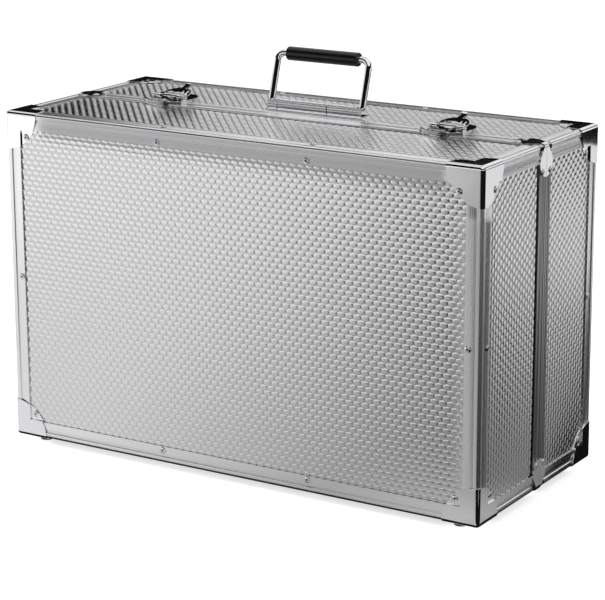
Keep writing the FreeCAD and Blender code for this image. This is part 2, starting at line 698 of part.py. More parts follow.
keep("handle_plate", cut("handle_plate_cut", fuse("handle_pressing", [plate, lip, barrel]),
                         fuse("handle_openings", openings)))


def lean_back(body):
    place(body, ("0", AXLE_Y, AXLE_Z), FreeCAD.Rotation(AXIS_X, -dims.handle_lean))
    bind(body, "Placement.Rotation.Angle", "-handle_lean")


def bail_body():
    """Wire bent to the handle's shape, drawn upright on its axle."""
    body = doc.addObject("PartDesign::Body", "handle_bail")
    path = new_sketch(body, "bail_path", "XZ_Plane")
    arm, top, foot = dims.bail_half_width, dims.bail_height, dims.bail_foot_end
    low, high = dims.bail_foot_bend, dims.bail_bend
    quarter = math.pi / 2

    def line(x0, y0, x1, y1):
        return path.addGeometry(Part.LineSegment(FreeCAD.Vector(x0, y0, 0), FreeCAD.Vector(x1, y1, 0)))

    def bend(x, y, radius, start):
        circle = Part.Circle(FreeCAD.Vector(x, y, 0), AXIS_Z, radius)
        return path.addGeometry(Part.ArcOfCircle(circle, start, start + quarter))

    right_foot = line(foot, 0, arm - low, 0)
    right_low = bend(arm - low, low, low, -quarter)
    right_arm = line(arm, low, arm, top - high)
    right_high = bend(arm - high, top - high, high, 0)
    bar = line(arm - high, top, high - arm, top)
    left_high = bend(high - arm, top - high, high, quarter)
    left_arm = line(-arm, top - high, -arm, low)
    left_low = bend(low - arm, low, low, 2 * quarter)
    left_foot = line(low - arm, 0, -foot, 0)
    wires = [right_foot, right_low, right_arm, right_high, bar, left_high, left_arm, left_low, left_foot]
    for first, second in zip(wires, wires[1:]):
        path.addConstraint(Sketcher.Constraint("Tangent", first, 2, second, 1))
    for level in (right_foot, left_foot, bar):
        path.addConstraint(Sketcher.Constraint("Horizontal", level))
    path.addConstraint(Sketcher.Constraint("PointOnObject", right_foot, 1, -1))
    path.addConstraint(Sketcher.Constraint("Symmetric", right_foot, 1, left_foot, 2, -2))
    path.addConstraint(Sketcher.Constraint("Symmetric", right_arm, 2, left_arm, 1, -2))
    fix_value(path, "DistanceX", (-1, 1, right_foot, 1), foot, "bail_foot_end")
    fix_value(path, "DistanceX", (-1, 1, right_arm, 1), arm, "bail_half_width")
    fix_value(path, "DistanceY", (-1, 1, bar, 1), top, "bail_height")
    for elbow, text in ((right_low, "bail_foot_bend"), (left_low, "bail_foot_bend"),
                        (right_high, "bail_bend")):
        fix_value(path, "Radius", (elbow,), dims.getPropertyByName(text), text)
    wire = new_sketch(body, "bail_wire", "YZ_Plane")
    wire.addGeometry(Part.Circle(FreeCAD.Vector(), AXIS_Z, dims.bail_radius))
    wire.addConstraint(Sketcher.Constraint("Coincident", 0, 3, -1, 1))
    fix_value(wire, "Radius", (0,), dims.bail_radius, "bail_radius")
    bind(wire, "AttachmentOffset.Base.z", "bail_foot_end")
    pipe = body.newObject("PartDesign::AdditivePipe", "bail_bends")
    pipe.Profile = wire
    pipe.Spine = (path, ["Edge%d" % (index + 1) for index in range(len(wires))])
    return body


def grip_body():
    """Thick tube round the bar of the bail, slit along its underside."""
    body = doc.addObject("PartDesign::Body", "handle_grip")
    ring = new_sketch(body, "grip_ring", "YZ_Plane")
    for index, (radius, text) in enumerate(((dims.grip_radius, "grip_radius"),
                                            (dims.bail_radius, "bail_radius + running_clearance"))):
        ring.addGeometry(Part.Circle(FreeCAD.Vector(0, dims.bail_height, 0), AXIS_Z, radius))
        ring.addConstraint(Sketcher.Constraint("PointOnObject", index, 3, -2))
        fix_value(ring, "DistanceY", (-1, 1, index, 3), dims.bail_height, "bail_height")
        fix_value(ring, "Radius", (index,), radius, text)
    tube = body.newObject("PartDesign::Pad", "grip_tube")
    tube.Profile = ring
    tube.SideType = "Symmetric"
    bind(tube, "Length", "grip_length")
    doc.recompute()
    rims = [index + 1 for index, edge in enumerate(tube.Shape.Edges)
            if edge.Closed and math.isclose(edge.Curve.Radius, dims.grip_radius)]
    fillet = body.newObject("PartDesign::Fillet", "grip_ends")
    fillet.Base = (tube, ["Edge%d" % index for index in rims])
    bind(fillet, "Radius", "grip_round")
    split = new_sketch(body, "grip_slit", "XY_Plane")
    half_length, half_split = dims.grip_length / 2, dims.grip_split / 2
    corners = [FreeCAD.Vector(x_sign * half_length, y_sign * half_split, 0)
               for x_sign, y_sign in ((-1, -1), (1, -1), (1, 1), (-1, 1))]
    followers = corners[1:] + corners[:1]
    kinds = ("Horizontal", "Vertical", "Horizontal", "Vertical")
    for start, stop in zip(corners, followers):
        split.addGeometry(Part.LineSegment(start, stop))
    for index, kind in enumerate(kinds):
        split.addConstraint(Sketcher.Constraint("Coincident", index, 2, (index + 1) % len(kinds), 1))
        split.addConstraint(Sketcher.Constraint(kind, index))
    split.addConstraint(Sketcher.Constraint("Symmetric", 0, 1, 1, 2, -1, 1))
    fix_value(split, "DistanceX", (0, 1, 0, 2), dims.grip_length, "grip_length")
    fix_value(split, "DistanceY", (1, 1, 1, 2), dims.grip_split, "grip_split")
    slot = body.newObject("PartDesign::Pocket", "grip_slot")
    slot.Profile = split
    slot.Reversed = True
    bind(slot, "Length", "bail_height")
    return body


for body in (bail_body(), grip_body()):
    lean_back(body)
    keep(body.Name, body)

# Latches: a cast plate with two ears on the base, a round stepped lever between them, a hook pivoted
# on the lever and a bowed keeper on the lid. Heights are over the rim flange, distances from the parting
# plane.

LATCH_X = {"left": "(-latch_offset)", "right": "(latch_offset)"}
HOOK_PIN = "(lever_pivot + hook_pin_offset)"
HOOK_RISE = "(lever_pivot_rise - hook_pin_drop)"
HOOK_BOTTOM = "(%s - hook_thickness / 2)" % HOOK_RISE
KEEPER_TOP = "(%s - hook_clearance)" % HOOK_BOTTOM
LUG_INNER = "(lever_half_width + side_clearance)"
LUG_OUTER = "(%s + latch_lug_thickness)" % LUG_INNER
PIN_BORE = "latch_pin_radius + running_clearance"
SLOT_BACK = "(%s + hook_barrel_radius + side_clearance)" % HOOK_PIN
LEVER_STEPS = 3


def back(distance):
    return from_rim("base", distance)


def over(height):
    return at("top", "-(%s)" % height)


def heights(low, high):
    return (over(low), over(high))


def run(near, far):
    return (back(near), back(far))


def both_sides(middle, inner, outer):
    """The two mirrored spans on either side of a middle plane."""
    return (("%s - (%s)" % (middle, outer), "%s - (%s)" % (middle, inner)),
            ("%s + (%s)" % (middle, inner), "%s + (%s)" % (middle, outer)))


def latch_plate(name, middle):
    disc = cylinder(name + "_disc", "latch_plate_radius", "profile_wall + latch_plate_thickness",
                    (middle, back("latch_centre"), PANEL_TOP))
    front = box(name + "_front", about(middle, "latch_plate_width / 2"),
                run("latch_plate_front", "latch_centre"), (PANEL_TOP, over("latch_plate_thickness")))
    room = box(name + "_room", about(middle, "latch_plate_width"),
               run("latch_plate_front - latch_centre", "%s + rim_flange + fit_gap" % RIM_FACE),
               (at("top", "2 * profile_wall"), over("0")))
    shapes = [cut(name + "_seat", fuse(name + "_casting", [disc, front]), room)]
    for index, span in enumerate(both_sides(middle, LUG_INNER, LUG_OUTER)):
        shapes.append(box("%s_ear_%d" % (name, index), span,
                          run("lever_pivot - lever_hub_radius", "lever_pivot + lever_hub_radius"),
                          heights("0", "lever_pivot_rise")))
        shapes.append(rod_along_x("%s_ear_top_%d" % (name, index), "lever_hub_radius", span,
                                  back("lever_pivot"), over("lever_pivot_rise")))
    bore = rod_along_x(name + "_bore", PIN_BORE, about(middle, "2 * " + LUG_OUTER),
                       back("lever_pivot"), over("lever_pivot_rise"))
    return cut(name, fuse(name + "_ears", shapes), bore)


def stepped_outline():
    """Half section of the round plate: out along the underside, then in over the conical steps."""
    points = [("0", "0"), ("lever_radius", "0")]
    for step in range(LEVER_STEPS):
        height = "lever_plate + %d * lever_step_rise" % step
        points += [("lever_radius - %d * lever_step" % step, height + " - lever_draft"),
                   ("lever_radius - %d * lever_step" % (step + 1), height)]
    return points + [("0", height)]


def round_plate():
    """Stepped round plate with its finger tail, drawn level with the lever's pivot at the origin."""
    underside = "lever_underside - lever_pivot_rise"
    body = doc.addObject("PartDesign::Body", "lever_disc")
    sketch = new_sketch(body, "lever_disc_section", "XZ_Plane")
    polygon(sketch, stepped_outline())
    turned = body.newObject("PartDesign::Revolution", "lever_disc_turned")
    turned.Profile = sketch
    turned.ReferenceAxis = (sketch, ["V_Axis"])
    turned.Angle = FULL_TURN
    place(body, ("0", "lever_centre - lever_pivot", underside))
    tail_points = [("0", "0"), ("tail_run", "0"), ("tail_run + tail_sweep", "tail_rise"),
                   ("tail_run + tail_sweep", "tail_rise + lever_plate"),
                   ("tail_run", "lever_plate"), ("0", "lever_plate")]
    tail_start = "lever_centre - lever_pivot + lever_radius - tail_overlap"
    tail = extrusion("lever_tail", tail_points, "tail_width",
                     ("-tail_width / 2", tail_start, underside), AXIS_Y, AXIS_Z)
    return fuse("lever_round_plate", [body, tail])


lever_round_plate = round_plate()


def latch_lever(name, middle):
    """The sloped round plate, slotted for the hook, on two arms with hubs for the pivot pins."""
    pivot = (middle, back("lever_pivot"), over("lever_pivot_rise"))
    sloped = copy_of(lever_round_plate, name + "_sloped", pivot, FreeCAD.Rotation(AXIS_X, dims.lever_slope))
    bind(sloped, "Placement.Rotation.Angle", "lever_slope")
    slot = box(name + "_slot", about(middle, "lever_slot_half_width"), run("-latch_centre", SLOT_BACK),
               heights("0", "2 * lever_arm_top"))
    arms = [cut(name + "_plate", sloped, slot)]
    for index, span in enumerate(both_sides(middle, "lever_slot_half_width", "lever_half_width")):
        arms.append(box("%s_arm_%d" % (name, index), span, run("lever_pivot", SLOT_BACK),
                        heights("lever_underside", "lever_arm_top")))
        arms.append(rod_along_x("%s_hub_%d" % (name, index), "lever_hub_radius", span,
                                back("lever_pivot"), over("lever_pivot_rise")))
    bores = [rod_along_x(name + "_pivot_bore", PIN_BORE, about(middle, "2 * lever_half_width"),
                         back("lever_pivot"), over("lever_pivot_rise")),
             rod_along_x(name + "_hook_bore", PIN_BORE, about(middle, "2 * lever_half_width"),
                         back(HOOK_PIN), over(HOOK_RISE))]
    return cut(name, fuse(name + "_arms", arms), fuse(name + "_bores", bores))


def latch_hook(name, middle):
    barrel = rod_along_x(name + "_barrel", "hook_barrel_radius",
                         about(middle, "lever_slot_half_width - side_clearance"),
                         back(HOOK_PIN), over(HOOK_RISE))
    strip = box(name + "_strip", about(middle, "hook_width / 2"), run(HOOK_PIN + " - hook_reach", HOOK_PIN),
                heights(HOOK_BOTTOM, HOOK_BOTTOM + " + hook_thickness"))
    nose = box(name + "_nose", about(middle, "hook_width / 2"),
               run(HOOK_PIN + " - hook_reach", HOOK_PIN + " - hook_reach + hook_nose"),
               heights(HOOK_BOTTOM, HOOK_BOTTOM + " + hook_nose"))
    bore = rod_along_x(name + "_bore", PIN_BORE, about(middle, "2 * lever_half_width"),
                       back(HOOK_PIN), over(HOOK_RISE))
    return cut(name, fuse(name + "_rolled", [barrel, strip, nose]), bore)


def latch_keeper(name, middle):
    """Bowed dish on the rim flange of the lid; its raised rim stands down in front of the flange."""
    foot = "profile_wall - fit_gap"
    bow_middle = back("keeper_bow - keeper_front")
    disc = cylinder(name + "_disc", "keeper_bow", "%s + %s" % (foot, KEEPER_TOP),
                    (middle, bow_middle, at("top", foot)))
    hollow = cylinder(name + "_hollow", "keeper_bow - keeper_lip", KEEPER_TOP,
                      (middle, bow_middle, over("keeper_thickness")))
    blank = box(name + "_blank", about(middle, "keeper_width / 2"), run("-2 * keeper_front", "-keeper_back"),
                heights("-(%s)" % foot, KEEPER_TOP))
    room = box(name + "_room", about(middle, "keeper_width"),
               run("-(%s + rim_flange + fit_gap)" % RIM_FACE, "0"), heights("-2 * profile_wall", "0"))
    dish = common(name + "_dish", blank, cut(name + "_bowl", disc, hollow))
    return cut(name, dish, room)


pivot_pins = []
for side in SIDES:
    middle = LATCH_X[side]
    for index, span in enumerate(both_sides(middle, "lever_slot_half_width", LUG_OUTER)):
        pivot_pins.append(rod_along_x("%s_pivot_%d" % (side, index), "latch_pin_radius", span,
                                      back("lever_pivot"), over("lever_pivot_rise")))
    keep("latch_plate_" + side, latch_plate("plate_" + side, middle))
    keep("latch_lever_" + side, latch_lever("lever_" + side, middle))
    keep("latch_hook_" + side, latch_hook("hook_" + side, middle))
    keep("latch_hook_pin_" + side,
         rod_along_x("hook_rod_" + side, "latch_pin_radius", about(middle, "lever_half_width"),
                     back(HOOK_PIN), over(HOOK_RISE)))
    keep("latch_keeper_" + side, latch_keeper("keeper_" + side, middle))
group("latch_pivot_pins", pivot_pins)

doc.recompute()

# Nothing is written unless every object and every sub-part is sound.

for obj in doc.Objects:
    if "Invalid" in obj.State or "Error" in obj.State:
        raise RuntimeError("failed object: " + obj.Label)
for label, obj in nodes.items():
    if obj.Shape.isNull() or not obj.Shape.isValid():
        raise RuntimeError("unsound shape: " + label)
for label, obj in nodes.items():
    obj.Shape.exportStep(os.path.join("parts", label + ".step"))
    print("%-28s %2d solids %10.1f mm3" % (label, len(obj.Shape.Solids), obj.Shape.Volume))
print(len(nodes), "nodes")
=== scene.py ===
# %% [markdown]
# # A riveted hard case, dressed over its CAD frame
#
# The case is an upright carrying case for art materials: board panels with an embossed silver skin, held in
# anodised aluminium profiles, with pressed chrome caps on its corners. The CAD frame gives every rigid piece
# its place and its joints. This lesson adds what the eye sees: the pressed pattern of the skins, the rivets,
# the finish of each metal, and a small studio.

# %% Load the frame
import json
import math
import bmesh
import bpy
from mathutils import Matrix, Vector


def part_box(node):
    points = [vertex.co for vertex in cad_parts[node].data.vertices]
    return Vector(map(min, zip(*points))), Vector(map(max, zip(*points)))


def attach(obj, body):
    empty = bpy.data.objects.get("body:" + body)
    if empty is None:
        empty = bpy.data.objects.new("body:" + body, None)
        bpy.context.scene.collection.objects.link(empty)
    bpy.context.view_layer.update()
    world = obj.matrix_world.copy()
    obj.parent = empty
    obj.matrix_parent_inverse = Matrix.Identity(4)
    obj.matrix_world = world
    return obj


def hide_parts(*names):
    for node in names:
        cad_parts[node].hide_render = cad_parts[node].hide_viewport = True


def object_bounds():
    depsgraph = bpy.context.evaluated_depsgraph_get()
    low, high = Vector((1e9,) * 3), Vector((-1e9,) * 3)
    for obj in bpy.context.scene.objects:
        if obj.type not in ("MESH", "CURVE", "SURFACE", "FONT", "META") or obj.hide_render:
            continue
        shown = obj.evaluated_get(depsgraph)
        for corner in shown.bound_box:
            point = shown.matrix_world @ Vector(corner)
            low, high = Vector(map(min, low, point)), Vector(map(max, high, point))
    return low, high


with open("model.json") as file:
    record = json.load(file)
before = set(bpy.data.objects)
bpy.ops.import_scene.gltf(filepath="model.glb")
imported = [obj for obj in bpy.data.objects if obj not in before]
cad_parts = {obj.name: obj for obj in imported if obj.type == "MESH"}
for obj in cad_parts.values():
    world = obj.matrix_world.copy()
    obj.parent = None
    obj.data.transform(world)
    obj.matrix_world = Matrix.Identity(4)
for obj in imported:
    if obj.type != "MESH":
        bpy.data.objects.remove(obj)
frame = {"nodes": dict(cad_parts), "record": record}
cad_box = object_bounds()
MM = 0.001

# %% [markdown]
# ## Camera
#
# The photograph was taken with a long lens, so the edges of the case hardly converge. The viewing angle could
# be set by eye. It was fitted to the straight edges of the box instead, which also gives the distance and the
# lens, so the camera is written down as those few values.

# %% Camera
VIEW_AZIMUTH = math.radians(31.91)
VIEW_ELEVATION = math.radians(15.14)
VIEW_ROLL = math.radians(-0.23)
CAMERA_PLACE = Vector((1.1917, -1.9049, 0.7670))
SENSOR_WIDTH = 36
LENS = 137.3

camera_data = bpy.data.cameras.new("photo_camera")
camera_data.sensor_width = SENSOR_WIDTH
camera_data.sensor_fit = "HORIZONTAL"
camera_data.lens = LENS
camera = bpy.data.objects.new("photo_camera", camera_data)
bpy.context.scene.collection.objects.link(camera)
camera.location = CAMERA_PLACE
camera.rotation_euler = (Matrix.Rotation(VIEW_AZIMUTH, 3, "Z")
                         @ Matrix.Rotation(math.pi / 2 - VIEW_ELEVATION, 3, "X")
                         @ Matrix.Rotation(VIEW_ROLL, 3, "Z")).to_euler()
bpy.context.scene.camera = camera
print("camera", round(CAMERA_PLACE.length, 3), "m from the foot of the case, lens", LENS, "mm")

# %% [markdown]
# ## Colours and nodes
#
# A colour picked on a screen is an sRGB value, while a shader works in linear light, so one function turns
# the first into the second. A second small function adds a node with its settings and its links, which keeps
# each material down to a few lines. A third one asks what kind of ray meets a surface: the background and the
# floor are white for the rays that an eye could follow, and plainer for those that only carry light.

# %% Colour and node helpers
def linear(hex_colour):
    """The linear RGBA of an sRGB colour such as "#C8C8C8"."""
    channels = [int(hex_colour[place:place + 2], 16) / 255 for place in (1, 3, 5)]
    return [c / 12.92 if c <= 0.04045 else ((c + 0.055) / 1.055) ** 2.4 for c in channels] + [1]


def add_node(tree, kind, inputs=None, **settings):
    """A new node; an input is a value, or another node's output to link."""
    node = tree.nodes.new(kind)
    for name, value in settings.items():
        setattr(node, name, value)
    for name, value in (inputs or {}).items():
        if isinstance(value, bpy.types.NodeSocket):
            tree.links.new(value, node.inputs[name])
        else:
            node.inputs[name].default_value = value
    return node


def new_material(name):
    """An empty material and its node tree."""
    material = bpy.data.materials.new(name)
    material.use_nodes = True
    material.node_tree.nodes.clear()
    return material, material.node_tree


def seen_by_eye(tree):
    """One for camera, mirror and see-through rays, nought for the rays that only carry light."""
    path = add_node(tree, "ShaderNodeLightPath")
    mirror = add_node(tree, "ShaderNodeMath", {
        0: path.outputs["Is Glossy Ray"], 1: path.outputs["Is Transmission Ray"]}, operation="MAXIMUM")
    seen = add_node(tree, "ShaderNodeMath", {
        0: path.outputs["Is Camera Ray"], 1: mirror.outputs[0]}, operation="MAXIMUM")
    return seen.outputs[0]


print("mid grey #808080 is", round(linear("#808080")[0], 3), "in linear light")

# %% [markdown]
# ## Studio
#
# The photograph has a plain white background. More light would bleach the case, so the world is white for
# the camera and for mirror-like rays, and weaker as a light. A grey then stays the grey that it was given.

# %% White background
WORLD_LIGHT = 0.45

bpy.context.scene.view_settings.view_transform = "Standard"
world = bpy.data.worlds.new("studio")
bpy.context.scene.world = world
world.use_nodes = True
tree = world.node_tree
tree.nodes.clear()
white = add_node(tree, "ShaderNodeBackground", {"Color": linear("#FFFFFF"), "Strength": 1.0})
fill = add_node(tree, "ShaderNodeBackground", {"Color": linear("#FFFFFF"), "Strength": WORLD_LIGHT})
either = add_node(tree, "ShaderNodeMixShader", {
    0: seen_by_eye(tree), 1: fill.outputs[0], 2: white.outputs[0]})
add_node(tree, "ShaderNodeOutputWorld", {"Surface": either.outputs[0]})
print("white background, fill light", WORLD_LIGHT)

# %% [markdown]
# The floor is a sheet of pale paper. It glows a little for the same rays, until it meets the background
# without a horizon, and it is still a matt surface that takes the shadow of the case.

# %% Paper floor
FLOOR_SIZE = 30.0
FLOOR_GLOW = 0.68


def stage_piece(name, shape, material):
    """Makes an object of a bmesh that belongs to the studio."""
    mesh = bpy.data.meshes.new(name)
    shape.to_mesh(mesh)
    shape.free()
    mesh.materials.append(material)
    piece = bpy.data.objects.new(name, mesh)
    bpy.context.scene.collection.objects.link(piece)
    return piece


floor_paper, tree = new_material("white_paper_floor")
strength = add_node(tree, "ShaderNodeMath", {0: seen_by_eye(tree), 1: FLOOR_GLOW}, operation="MULTIPLY")
paper = add_node(tree, "ShaderNodeBsdfDiffuse", {"Color": linear("#E0E0E0")})
glow = add_node(tree, "ShaderNodeEmission", {"Color": linear("#FFFFFF"), "Strength": strength.outputs[0]})
both = add_node(tree, "ShaderNodeAddShader", {0: paper.outputs[0], 1: glow.outputs[0]})
add_node(tree, "ShaderNodeOutputMaterial", {"Surface": both.outputs[0]})

shape = bmesh.new()
bmesh.ops.create_grid(shape, x_segments=1, y_segments=1, size=FLOOR_SIZE / 2)
stage_piece("floor", shape, floor_paper)
print("a floor", FLOOR_SIZE, "m square")

# %% [markdown]
# ## Cards
#
# Polished metal shows nothing but its surroundings, so a photographer stands cards round it: dark ones to
# draw its edges and graded ones to model its flat faces. The cards here are seen in reflections only. Each
# one was placed by following the ray from the camera off a face of the case: the front looks at the floor in
# front and to the left, the right side at the floor behind and to the right, the top at the low sky behind,
# and a rounded edge sweeps across everything between its two faces.

# %% Card materials
def reflections_only(piece):
    """Hides a studio piece from everything but mirror-like rays."""
    piece.visible_camera = False
    piece.visible_diffuse = False
    piece.visible_shadow = False
    piece.visible_volume_scatter = False


def graded(name, direction, span, levels, glows):
    """A card whose brightness runs between two levels along a direction, with glows at some spots."""
    made, tree = new_material(name)
    place = add_node(tree, "ShaderNodeTexCoord")
    along = add_node(tree, "ShaderNodeVectorMath", {
        0: place.outputs["Object"], 1: direction}, operation="DOT_PRODUCT")
    level = add_node(tree, "ShaderNodeMapRange", {
        "Value": along.outputs["Value"], "From Min": span[0], "From Max": span[1],
        "To Min": levels[0], "To Max": levels[1]})
    for spot, radius, extra in glows:
        away = add_node(tree, "ShaderNodeVectorMath", {
            0: place.outputs["Object"], 1: spot}, operation="DISTANCE")
        glow = add_node(tree, "ShaderNodeMapRange", {
            "Value": away.outputs["Value"], "From Min": 0, "From Max": radius,
            "To Min": extra, "To Max": 0})
        level = add_node(tree, "ShaderNodeMath", {0: level.outputs[0], 1: glow.outputs[0]}, operation="ADD")
    light = add_node(tree, "ShaderNodeEmission", {
        "Color": linear("#FFFFFF"), "Strength": level.outputs[0]})
    add_node(tree, "ShaderNodeOutputMaterial", {"Surface": light.outputs[0]})
    return made


card_black, tree = new_material("black_card")
black = add_node(tree, "ShaderNodeEmission", {"Color": linear("#141414"), "Strength": 1.0})
add_node(tree, "ShaderNodeOutputMaterial", {"Surface": black.outputs[0]})
print("black cards give", round(linear("#141414")[0], 4), "of white")

# %% [markdown]
# The large faces mirror the floor. A card in front falls from light at the left to dark at the right, as the
# front of the case does in the photograph, and a strip behind the right side brightens with its distance, so
# that side is dark below and light above. A glow is a spot that adds light, or takes some away, out to a
# radius: its place, that radius and the light. A black card under the case draws the dark line where it meets
# the floor.

# %% Floor cards
CARD_RISE = 2 * MM
CARD_REACH = 4.0
CONTACT = Vector((6, 6, 0)) * MM
FRONT_FALL = Vector((0.93, -0.37, 0))
FRONT_RANGE = (-0.15, 0.40)
FRONT_LEVELS = (0.90, 0.10)
FRONT_GLOWS = (((-1.30, -1.30, 0), 1.00, 0.60), ((0.24, -0.15, 0), 0.15, 0.32),
               ((-0.90, -1.65, 0), 0.45, -0.35))
SIDE_FALL = Vector((0.53, 0.85, 0))
SIDE_RANGE = (0.15, 1.10)
SIDE_LEVELS = (0.22, 0.88)
SIDE_GLOWS = (((0.29, -0.08, 0), 0.12, 0.25),)
SIDE_OUTLINE = ((0.275, -0.12), (0.66, 0.46), (1.15, 0.62), (1.95, 1.05), (0.40, 1.90), (0.36, 1.00),
                (0.50, 0.62), (0.275, 0.03))


def floor_card(name, outline, layer, material):
    """A level card over the floor; a higher layer lies on a lower one."""
    shape = bmesh.new()
    shape.faces.new([shape.verts.new((x, y, layer * CARD_RISE)) for x, y in outline])
    reflections_only(stage_piece(name, shape, material))


def rectangle(low, high):
    """The outline between two corners."""
    return (low[0], low[1]), (high[0], low[1]), (high[0], high[1]), (low[0], high[1])


case_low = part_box("lid_bottom_edge_profile")[0]
case_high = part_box("base_bottom_edge_profile")[1]
front_right = Vector((case_high.x, case_low.y, 0))
floor_card("front_card", rectangle((-CARD_REACH, -CARD_REACH), front_right), 1,
           graded("graded_front_card", FRONT_FALL, FRONT_RANGE, FRONT_LEVELS, FRONT_GLOWS))
floor_card("side_card", rectangle(front_right, (CARD_REACH, CARD_REACH)), 1, card_black)
floor_card("side_strip", SIDE_OUTLINE, 2,
           graded("graded_side_card", SIDE_FALL, SIDE_RANGE, SIDE_LEVELS, SIDE_GLOWS))
floor_card("contact_card", rectangle(case_low - CONTACT, case_high + CONTACT), 3, card_black)
print("four floor cards, with the front right foot of the case at", [round(v, 3) for v in front_right])

# %% [markdown]
# The embossed top looks at the low sky behind it, and its pillows turn that into stripes: a slope that faces
# right mirrors another bearing than one that faces front. So a dark ring stands round the studio, low where
# the right slopes look and tall where the front slopes look. Its edges are angles over the top of the case,
# given at some bearings: bearing, low edge, high edge. A bearing is counted from straight in front, to the
# right. A second, higher band is mirrored by what leans a little towards the camera, such as the upper edges
# of the caps. Both start as one upright edge that is spun round the case, and then each post gets its own
# heights.

# %% Dark ring and flag
RING_RADIUS = 4.0
RING_STEP = 5
FULL_TURN = 360
EYE_HEIGHT = 0.345
RING = ((-180, 0, 14), (-150, 0, 14), (-145, 0, 13), (-140, 0, 18), (-135, 0, 36), (-120, 0, 36),
        (-110, 5, 12), (-85, 17, 40), (-70, 17, 56), (-30, 17, 57), (-20, 12, 54), (-10, 4, 50),
        (0, 4, 38), (10, 6, 34), (110, 6, 34), (130, 8, 32), (145, 18, 30), (160, 12, 22), (180, 0, 14))
FLAG = ((-170, 52, 66), (-125, 52, 66))


def toward(bearing, lift=0):
    """The direction at a bearing and an angle over the level, both in degrees."""
    turn, rise = math.radians(bearing), math.radians(lift)
    return Vector((math.sin(turn) * math.cos(rise), -math.cos(turn) * math.cos(rise), math.sin(rise)))


def edge_heights(band, bearing):
    """The heights of the low and the high edge of a band at a bearing."""
    for first, last in zip(band, band[1:]):
        if first[0] <= bearing <= last[0]:
            part = (bearing - first[0]) / (last[0] - first[0])
            angles = [a + (b - a) * part for a, b in zip(first[1:], last[1:])]
            return [EYE_HEIGHT + math.tan(math.radians(angle)) * RING_RADIUS for angle in angles]


def dark_band(name, band):
    """A dark card that stands on a circle round the case."""
    start, end = band[0][0], band[-1][0]
    shape = bmesh.new()
    low = shape.verts.new(toward(start) * RING_RADIUS)
    high = shape.verts.new(low.co + Vector((0, 0, 1)))
    bmesh.ops.spin(shape, geom=[low, high, shape.edges.new((low, high))], axis=(0, 0, 1),
                   angle=math.radians(end - start), steps=(end - start) // RING_STEP,
                   use_merge=end - start == FULL_TURN)
    for vert in shape.verts:
        bearing = round(math.degrees(math.atan2(vert.co.x, -vert.co.y)))
        vert.co.z = edge_heights(band, bearing)[round(vert.co.z)]
    reflections_only(stage_piece(name, shape, card_black))


dark_band("dark_ring", RING)
dark_band("dark_flag", FLAG)
print("dark ring from", len(RING), "bearings, and a flag")

# %% [markdown]
# The rounded upright corner at the front right is a black line in the photograph. It mirrors the floor all
# the way from the front to the back right, so a dark wedge lies there, spun from one edge.

# %% Dark wedge
WEDGE_FROM = -8
WEDGE_TO = 134
WEDGE_REACH = 3.5
WEDGE_STEPS = 16
WEDGE_LAYER = 4

shape = bmesh.new()
apex = shape.verts.new((0, 0, 0))
tip = shape.verts.new(toward(WEDGE_FROM) * WEDGE_REACH)
bmesh.ops.spin(shape, geom=[apex, tip, shape.edges.new((apex, tip))], axis=(0, 0, 1),
               angle=math.radians(WEDGE_TO - WEDGE_FROM), steps=WEDGE_STEPS)
bmesh.ops.remove_doubles(shape, verts=shape.verts, dist=MM)
bmesh.ops.translate(shape, vec=front_right + Vector((0, 0, WEDGE_LAYER * CARD_RISE)), verts=shape.verts)
reflections_only(stage_piece("dark_floor_wedge", shape, card_black))
print("a wedge over", WEDGE_TO - WEDGE_FROM, "degrees")

# %% [markdown]
# The round plates of the latch levers slope like the front of a pillow, so a larger card for them would also
# darken the top. A small one close by is seen by the lever alone: a black square on the ray that it mirrors.

# %% Latch cards
LATCH_BEARINGS = {"left": -139, "right": -149}
LATCH_LIFT = 31
LATCH_CARD = 40 * MM
LATCH_AWAY = 45 * MM

for side, bearing in LATCH_BEARINGS.items():
    ray = toward(bearing, LATCH_LIFT)
    low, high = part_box("latch_lever_" + side)
    shape = bmesh.new()
    bmesh.ops.create_grid(shape, x_segments=1, y_segments=1, size=LATCH_CARD / 2)
    bmesh.ops.transform(shape, matrix=ray.to_track_quat("Z", "Y").to_matrix().to_4x4(), verts=shape.verts)
    bmesh.ops.translate(shape, vec=(low + high) / 2 + ray * LATCH_AWAY, verts=shape.verts)
    reflections_only(stage_piece("dark_latch_card_" + side, shape, card_black))
print(len(LATCH_BEARINGS), "latch cards,", round(LATCH_AWAY / MM), "mm from their levers")

# %% [markdown]
# The satin flanges of the profiles have tones of their own in the photograph, and they lie right beside the
# panels. Narrow cards two or three centimetres from a flange reach it and hardly anything else. Each one is
# given by the profile, its place from the middle of that profile and its size in millimetres, and its tones.

# %% Flange cards
FLANGE_CARDS = {
    "top_flange_card": ("lid_top_edge_profile", (-15, -32.5, -7.5), (464, 1, 24), (0.50, 0.38)),
    "right_flange_card": ("lid_right_edge_profile", (-15.5, -33.5, -14), (20, 1, 260), (0.50, 0.50)),
    "side_flange_card": ("lid_right_edge_profile", (34.5, 40.5, -21), (1, 24, 260), (0.10, 0.10)),
}

for name, (profile, place, size, levels) in FLANGE_CARDS.items():
    low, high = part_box(profile)
    shape = bmesh.new()
    bmesh.ops.create_cube(shape, size=MM)
    bmesh.ops.scale(shape, vec=size, verts=shape.verts)
    bmesh.ops.translate(shape, vec=(low + high) / 2 + Vector(place) * MM, verts=shape.verts)
    tones = graded("graded_" + name, FRONT_FALL, FRONT_RANGE, levels, ())
    reflections_only(stage_piece(name, shape, tones))
print(len(FLANGE_CARDS), "flange cards")

# %% [markdown]
# ## Lamps
#
# Two large soft lamps, one overhead and one at the left, light what isn't a mirror: the grip, the feet, the
# lining and the floor. The metal doesn't see them, because their bright squares aren't in the photograph.

